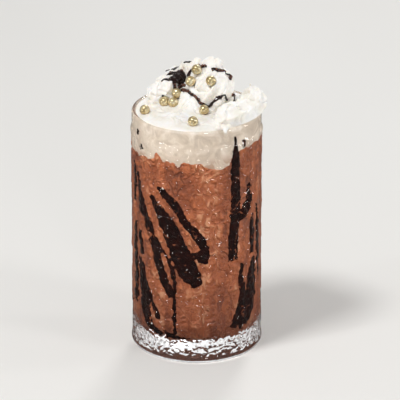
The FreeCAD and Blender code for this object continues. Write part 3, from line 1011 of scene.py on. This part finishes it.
        drop = make.math("MAXIMUM", make.math("SUBTRACT", given["Bend Top"], axes["Z"]), 0.0)
        drop = make.math("MINIMUM", drop, given["Bend"])
        round_off = make.math("SQRT", make.math("SUBTRACT", make.math("POWER", given["Bend"], 2.0),
                                                make.math("POWER", drop, 2.0)))
        reach = make.math("ADD", make.math("ADD", make.math("SUBTRACT", given["Bore"], given["Bend"]), round_off), out)
        turn = make.math("DIVIDE", axes["X"], given["Bore"])
        wrapped = make.node("ShaderNodeCombineXYZ", {
            0: make.math("MULTIPLY", reach, make.math("SINE", turn)),
            1: make.math("MULTIPLY", make.math("MULTIPLY", reach, make.math("COSINE", turn)), -1.0),
            2: axes["Z"]}).outputs[0]
        moved = make.node("GeometryNodeSetPosition", {"Geometry": swept, "Position": wrapped}).outputs[0]
        whole = make.node("GeometryNodeRealizeInstances", {0: moved}).outputs[0]
        dressed = make.node("GeometryNodeSetMaterial", {"Geometry": whole, "Material": given["Material"]})
        make.node("NodeGroupOutput", {0: dressed.outputs[0]})
        return tree

    def build(self) -> bpy.types.Object:
        """Sweep the streaks, melt them into each other and dress them."""
        curve = self.flat_curves()
        add_nodes(curve, self.sweep(), Bore=self.cavity.bore_mm * MM, Bend=self.cavity.bend_mm * MM,
                  Bend_Top=(self.cavity.floor_mm + self.cavity.bend_mm) * MM, Reach=self.reach_mm * MM,
                  Sink=self.sink_mm * MM, Thickness=self.thick_mm / 2.5, Roughness=self.rough_mm * MM,
                  Grain=self.rough_scale, Material=self.material)
        piece = curve_to_piece(curve)
        tidy_normals(piece)
        remesh(piece, 0.36, 2, 0.35)
        evaluated(piece)
        dress(piece, self.material)
        enter(piece, Slot.SYRUP)
        return piece


@dataclass(frozen=True)
class Run:
    """Syrup poured over the cream: (x, y, half width) stops in millimetres, over the pouring level."""

    stops: tuple


FRONT_RUNS = (
    Run(((-11, 4, 0.9), (-8, 0, 0.9), (-4, -4, 0.8), (-1, -7.5, 0.8), (1, -10, 0.8), (2.2, -13.8, 0.9),
         (5, -14.2, 0.8), (7.5, -15, 0.9), (9.2, -12.6, 0.8), (12, -11, 0.8), (15, -9.6, 0.7), (18.2, -7.8, 0.7))),
    Run(((9, -14, 0.5), (11, -10.6, 0.6), (14, -8.6, 0.5), (16.5, -9, 0.5))),
    Run(((-21, 8.5, 0.4), (-17.5, 9, 0.8), (-15, 9, 1.9), (-12, 9.5, 2.7), (-10, 7.5, 2.4), (-8.5, 4.5, 1.5),
         (-6.5, 3, 0.8))),
    Run(((-18, 12.5, 0.5), (-12.5, 14, 1.5), (-8.5, 14, 1.7), (-7, 10, 1.3), (-6, 6, 0.8))),
    Run(((-14, 12, 1.4), (-11, 10.5, 2.0), (-8, 10, 1.6), (-9, 6.5, 1.4))),
    Run(((-14, 7, 1.0), (-12.5, 4, 1.3), (-13.5, 1, 0.6))),
    Run(((-5, 9, 1.0), (-4, 12.5, 0.9), (0.5, 15.6, 0.9), (3.5, 14, 0.7), (6.2, 12.4, 0.6))),
    Run(((9, 9.8, 1.0), (10.5, 10.6, 0.8), (12.8, 10, 1.1), (15.2, 9.4, 0.6), (19, 10, 0.5), (20.6, 10.4, 0.7),
         (20, 5.1, 0.9))),
    Run(((23, 0, 0.9), (21.8, -5, 0.8))),
    Run(((-18, -3, 0.8), (-16, -4.5, 1.5), (-13.8, -6.8, 1.5), (-12.5, -7.5, 0.8))),
    Run(((-20.2, 0, 0.7), (-19.8, -4, 0.8))),
)
BACK_RUNS = (
    Run(((-3, 18, 0.7), (3, 19, 0.9), (9, 15, 0.8), (14, 12, 0.7), (17, 15, 0.9))),
    Run(((-18, 8, 0.7), (-14, 14, 0.9), (-7, 20, 0.8), (3, 24, 0.9), (12, 20, 0.7), (17, 17, 0.8))),
    Run(((-9, 26, 0.8), (-2, 25, 0.9), (4, 28, 1.0), (9, 26, 0.8))),
)


@dataclass
class Drizzle:
    """Syrup on the cream, which follows its folds."""

    name: str
    cream: bpy.types.Object
    material: bpy.types.Material
    runs: tuple
    slant: float = 0.0
    level_mm: float = 160.0
    start_mm: float = 230.0

    def lines(self) -> bpy.types.Object:
        """The runs as flat curves over the cream.

        Returns:
            The curve object.
        """
        data = bpy.data.curves.new(self.name, "CURVE")
        back = (self.start_mm - self.level_mm) * self.slant
        data.dimensions = "3D"
        for poured in self.runs:
            line = data.splines.new("NURBS")
            line.points.add(len(poured.stops) - 1)
            for point, (x, y, half) in zip(line.points, poured.stops):
                point.co = (x * MM, (y - back) * MM, self.start_mm * MM, 1.0)
                point.radius = half
            line.order_u = 3
            line.use_endpoint_u = True
            line.resolution_u = 12
        made = bpy.data.objects.new(self.name, data)
        bpy.context.scene.collection.objects.link(made)
        return made

    def drape(self) -> bpy.types.NodeTree:
        """The geometry tree that drops the lines on the cream and sweeps them.

        Returns:
            The tree.
        """
        tree = bpy.data.node_groups.new("drizzle_drape", "GeometryNodeTree")
        tree.interface.new_socket("Geometry", in_out="INPUT", socket_type="NodeSocketGeometry")
        tree.interface.new_socket("Cream", in_out="INPUT", socket_type="NodeSocketObject")
        for name in ("Step", "Grain", "Slant"):
            tree.interface.new_socket(name, in_out="INPUT", socket_type="NodeSocketFloat")
        tree.interface.new_socket("Material", in_out="INPUT", socket_type="NodeSocketMaterial")
        tree.interface.new_socket("Geometry", in_out="OUTPUT", socket_type="NodeSocketGeometry")
        make = Tree(tree)
        given = make.node("NodeGroupInput").outputs
        under = make.node("GeometryNodeObjectInfo", {"Object": given["Cream"]}).outputs["Geometry"]
        line = make.node("GeometryNodeResampleCurve", {"Curve": given["Geometry"]}, mode="LENGTH")
        make.feed(line.inputs["Length"], given["Step"])
        way = make.node("ShaderNodeCombineXYZ", {1: given["Slant"], 2: -1.0}).outputs[0]
        hit = make.node("GeometryNodeRaycast", {"Target Geometry": under, "Ray Direction": way,
                                                "Ray Length": 0.3}).outputs["Hit Position"]
        laid = make.node("GeometryNodeSetPosition", {"Geometry": line.outputs[0], "Position": hit}).outputs[0]
        place = make.node("GeometryNodeInputPosition").outputs[0]
        wobble = make.spread(make.noise(place, given["Grain"], 2.0).outputs[0], 0.3, 0.7, 0.7, 1.35, "LINEAR")
        width = make.math("MULTIPLY", make.node("GeometryNodeInputRadius").outputs[0], wobble)
        ring = make.node("GeometryNodeCurvePrimitiveCircle", {"Resolution": 14, "Radius": MM}).outputs[0]
        swept = make.node("GeometryNodeCurveToMesh", {"Curve": laid, "Profile Curve": ring, "Scale": width,
                                                      "Fill Caps": True}).outputs[0]
        whole = make.node("GeometryNodeRealizeInstances", {0: swept}).outputs[0]
        dressed = make.node("GeometryNodeSetMaterial", {"Geometry": whole, "Material": given["Material"]})
        make.node("NodeGroupOutput", {0: dressed.outputs[0]})
        return tree

    def build(self) -> bpy.types.Object:
        """Drape the syrup, melt it together and dress it."""
        curve = self.lines()
        add_nodes(curve, self.drape(), Cream=self.cream, Step=0.0007, Grain=320.0, Slant=self.slant,
                  Material=self.material)
        piece = curve_to_piece(curve)
        tidy_normals(piece)
        remesh(piece, 0.24, 3)
        evaluated(piece)
        dress(piece, self.material)
        enter(piece, Slot.SYRUP)
        return piece


@dataclass
class CreamDrip:
    """The small drop of cream that hangs over the rim, at the front to the right."""

    material: bpy.types.Material
    angle: float = 26.0
    beads: tuple = ((35.4, 0.0, 151.4, 2.3), (37.0, 0.6, 151.9, 1.9), (38.4, 0.3, 151.8, 1.5), (39.1, -0.3, 150.8, 1.2),
                    (39.2, -0.2, 149.6, 1.1), (39.2, 0.1, 148.2, 1.2), (36.0, 3.4, 151.7, 1.8), (35.6, -3.2, 151.6, 1.7))

    def build(self) -> bpy.types.Object:
        """Melt the beads into one drop; each is (radius, sideways, height, size) in millimetres."""
        work = bmesh.new()
        turn = math.radians(self.angle)
        for radius, aside, height, size in self.beads:
            across = turn + aside / radius
            made = bmesh.ops.create_icosphere(work, subdivisions=3, radius=size * MM)
            shift = Vector((radius * math.sin(across), -radius * math.cos(across), height)) * MM
            bmesh.ops.translate(work, verts=made["verts"], vec=shift)
        mesh = bpy.data.meshes.new("cream_drip")
        work.to_mesh(mesh)
        work.free()
        piece = bpy.data.objects.new("cream_drip", mesh)
        bpy.context.scene.collection.objects.link(piece)
        remesh(piece, 0.22, 6)
        evaluated(piece)
        tidy_normals(piece)
        dress(piece, self.material)
        enter(piece, Slot.CREAM)
        return piece


@dataclass
class Crumbs:
    """Chocolate crumbs scattered in the syrup on the cream."""

    syrup: bpy.types.Object
    material: bpy.types.Material
    size_mm: float = 0.55
    density: float = 1200000.0
    seed: int = 11

    def scatter(self) -> bpy.types.NodeTree:
        """The geometry tree that scatters the crumbs.

        Returns:
            The tree.
        """
        tree = bpy.data.node_groups.new("crumb_scatter", "GeometryNodeTree")
        tree.interface.new_socket("Geometry", in_out="INPUT", socket_type="NodeSocketGeometry")
        tree.interface.new_socket("Syrup", in_out="INPUT", socket_type="NodeSocketObject")
        for name in ("Size", "Density", "Patchiness"):
            tree.interface.new_socket(name, in_out="INPUT", socket_type="NodeSocketFloat")
        tree.interface.new_socket("Seed", in_out="INPUT", socket_type="NodeSocketInt")
        tree.interface.new_socket("Material", in_out="INPUT", socket_type="NodeSocketMaterial")
        tree.interface.new_socket("Geometry", in_out="OUTPUT", socket_type="NodeSocketGeometry")
        make = Tree(tree)
        given = make.node("NodeGroupInput").outputs
        under = make.node("GeometryNodeObjectInfo", {"Object": given["Syrup"]}).outputs["Geometry"]
        place = make.node("GeometryNodeInputPosition").outputs[0]
        patch = make.noise(place, given["Patchiness"], 1.0).outputs[0]
        up = make.node("ShaderNodeSeparateXYZ", {0: make.node("GeometryNodeInputNormal").outputs[0]}).outputs["Z"]
        where = make.math("MULTIPLY", make.spread(patch, 0.45, 0.6), make.spread(up, 0.0, 0.3))
        dense = make.math("MULTIPLY", given["Density"], where)
        dots = make.node("GeometryNodeDistributePointsOnFaces", {"Mesh": under, "Density": dense,
                                                                 "Seed": given["Seed"]}).outputs["Points"]
        ball = make.node("GeometryNodeMeshIcoSphere", {"Radius": given["Size"], "Subdivisions": 2}).outputs["Mesh"]
        lump = make.vector("SUBTRACT", make.noise(place, 1700.0, 2.0).outputs["Color"], (0.5, 0.5, 0.5))
        rough = make.node("GeometryNodeSetPosition", {"Geometry": ball, "Offset": make.scaled(lump, 0.0007)}).outputs[0]
        turn = make.node("FunctionNodeRandomValue", {1: (6.28, 6.28, 6.28), "Seed": given["Seed"]},
                         data_type="FLOAT_VECTOR").outputs["Value"]
        size = make.node("FunctionNodeRandomValue", {2: 0.5, 3: 1.3, "Seed": given["Seed"]}).outputs[1]
        grains = make.node("GeometryNodeInstanceOnPoints", {"Points": dots, "Instance": rough, "Rotation": turn,
                                                            "Scale": size}).outputs[0]
        whole = make.node("GeometryNodeRealizeInstances", {0: grains}).outputs[0]
        dressed = make.node("GeometryNodeSetMaterial", {"Geometry": whole, "Material": given["Material"]})
        make.node("NodeGroupOutput", {0: dressed.outputs[0]})
        return tree

    def build(self) -> bpy.types.Object:
        """Scatter the crumbs and dress them."""
        piece = bpy.data.objects.new("chocolate_crumbs", bpy.data.meshes.new("chocolate_crumbs"))
        bpy.context.scene.collection.objects.link(piece)
        add_nodes(piece, self.scatter(), Syrup=self.syrup, Size=self.size_mm * MM, Density=self.density,
                  Patchiness=110.0, Seed=self.seed, Material=self.material)
        evaluated(piece)
        dress(piece, self.material)
        piece.data.polygons.foreach_set("use_smooth", [False] * len(piece.data.polygons))
        enter(piece, Slot.SYRUP)
        return piece


@dataclass
class Pearls:
    """The sugar pearls, which are the frame's own."""

    finish: PearlFinish = field(default_factory=PearlFinish)
    count: int = 9

    def build(self) -> None:
        """Dress each pearl."""
        material = self.finish.make()
        for number in range(1, self.count + 1):
            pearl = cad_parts[f"pearl_{number}"]
            dress(pearl, material)
        log.info("%d pearls dressed", self.count)


@dataclass(frozen=True)
class Lamp:
    """A soft lamp that faces the glass: its place and size in metres, and its power in watts."""

    name: str
    place: tuple
    width: float
    height: float
    power: float

    def build(self) -> None:
        """Hang the lamp."""
        data = bpy.data.lights.new(self.name, "AREA")
        data.shape = "RECTANGLE"
        data.size = self.width
        data.size_y = self.height
        data.energy = self.power
        lamp = bpy.data.objects.new(self.name, data)
        lamp.location = self.place
        lamp.rotation_euler = (Vector((0, 0, 0.1)) - Vector(self.place)).to_track_quat("-Z", "Y").to_euler()
        bpy.context.scene.collection.objects.link(lamp)


@dataclass
class Studio:
    """Pale floor, soft light and the camera."""

    floor_m: float = 3.0
    floor_colour: str = "e9e7e3"
    floor_mirrored: str = "6e6c69"
    floor_drop_mm: float = 0.2
    sky: float = 0.3
    lamps: tuple = (Lamp("key", (-0.6, -0.5, 1.6), 0.3, 0.3, 13.5), Lamp("fill", (1.3, -0.7, 0.9), 0.3, 0.3, 4.0),
                    Lamp("back", (0.3, 1.2, 1.1), 0.3, 0.3, 6.0), Lamp("strip_front", (0.4, -1.4, 0.25), 0.1, 0.5, 2.5),
                    Lamp("strip_left", (-1.25, -0.7, 0.28), 0.12, 0.55, 4.0),
                    Lamp("strip_right", (1.35, 0.1, 0.28), 0.12, 0.55, 4.0))
    camera_at: tuple = (0.0, -1.862, 0.880)
    camera_down: float = 22.95
    camera_turn: float = -0.0636
    lens_mm: float = 299.97

    def build(self) -> None:
        """Set up the floor, the world, the lamps and the camera."""
        self.floor()
        self.world()
        for lamp in self.lamps:
            lamp.build()
        data = bpy.data.cameras.new("camera")
        data.sensor_width = 36.0
        data.lens = self.lens_mm
        data.clip_end = 20.0
        camera = bpy.data.objects.new("camera", data)
        camera.location = self.camera_at
        camera.rotation_euler = (math.radians(90 - self.camera_down), 0.0, math.radians(self.camera_turn))
        bpy.context.scene.collection.objects.link(camera)
        bpy.context.scene.camera = camera
        bpy.context.scene.view_settings.view_transform = "Standard"

    def floor(self) -> None:
        """Lay the floor, which polished surfaces mirror darker than it is, as through a polarising filter."""
        half = self.floor_m / 2
        level = -self.floor_drop_mm * MM
        corners = [(-half, -half, level), (half, -half, level), (half, half, level), (-half, half, level)]
        floor = mesh_object("floor", corners, [(0, 1, 2, 3)])
        made, make, shader = new_material("pale_floor", Roughness=0.8)
        cloud = make.noise(make.node("ShaderNodeTexCoord").outputs["Object"], 3.0).outputs[0]
        make.feed(shader.inputs["Base Color"], make.ramp(cloud, ((0.0, self.floor_colour), (1.0, "efeeeb"))))
        dull = make.node("ShaderNodeBsdfDiffuse", {"Color": srgb(self.floor_mirrored)})
        rays = make.node("ShaderNodeLightPath")
        mix = make.node("ShaderNodeMixShader", {0: rays.outputs[Ray.GLOSSY.value], 1: shader.outputs[0],
                                                2: dull.outputs[0]})
        make.feed(made.node_tree.nodes["Material Output"].inputs["Surface"], mix.outputs[0])
        dress(floor, made)

    def world(self) -> None:
        """Light the scene evenly, and show white to what looks straight at the world."""
        world = bpy.data.worlds.new("studio")
        bpy.context.scene.world = world
        world.use_nodes = True
        make = Tree(world.node_tree)
        soft = world.node_tree.nodes["Background"]
        soft.inputs["Color"].default_value = (1.0, 1.0, 1.0, 1.0)
        soft.inputs["Strength"].default_value = self.sky
        white = make.node("ShaderNodeBackground", {"Color": (1.0, 1.0, 1.0, 1.0), "Strength": 1.0})
        rays = make.node("ShaderNodeLightPath")
        seen = make.math("MAXIMUM", rays.outputs[Ray.CAMERA.value], rays.outputs[Ray.TRANSMISSION.value])
        mix = make.node("ShaderNodeMixShader", {0: seen, 1: soft.outputs[0], 2: white.outputs[0]})
        make.feed(world.node_tree.nodes["World Output"].inputs["Surface"], mix.outputs[0])


def main() -> None:
    """Build the drink from the glass inwards, then what lies on the cream, then the studio."""
    logging.basicConfig(level=logging.INFO, format="%(name)s: %(message)s")
    cavity = Cavity()
    meeting = Meeting()
    Tumbler(cavity).build()
    Drink(cavity, meeting).build()
    cream = Cream(cavity, meeting).build()
    WallSyrup(cavity, SyrupFinish("syrup_on_wall", gloss=0.35, coat=0.0, shine=0.0, fleck_share=0.8).make()).build()
    CreamDrip(cream.data.materials[0]).build()
    glossy = SyrupFinish("syrup_drizzle").make()
    drizzle = Drizzle("syrup_drizzle", cream, glossy, FRONT_RUNS, slant=0.75).build()
    Drizzle("syrup_drizzle_back", cream, glossy, BACK_RUNS).build()
    Crumbs(drizzle, SyrupFinish("chocolate_crumb", thin="7c4c38", thick="2a100a", gloss=0.4, coat=0.0).make()).build()
    Pearls().build()
    Studio().build()


if __name__ == "__main__":
    main()
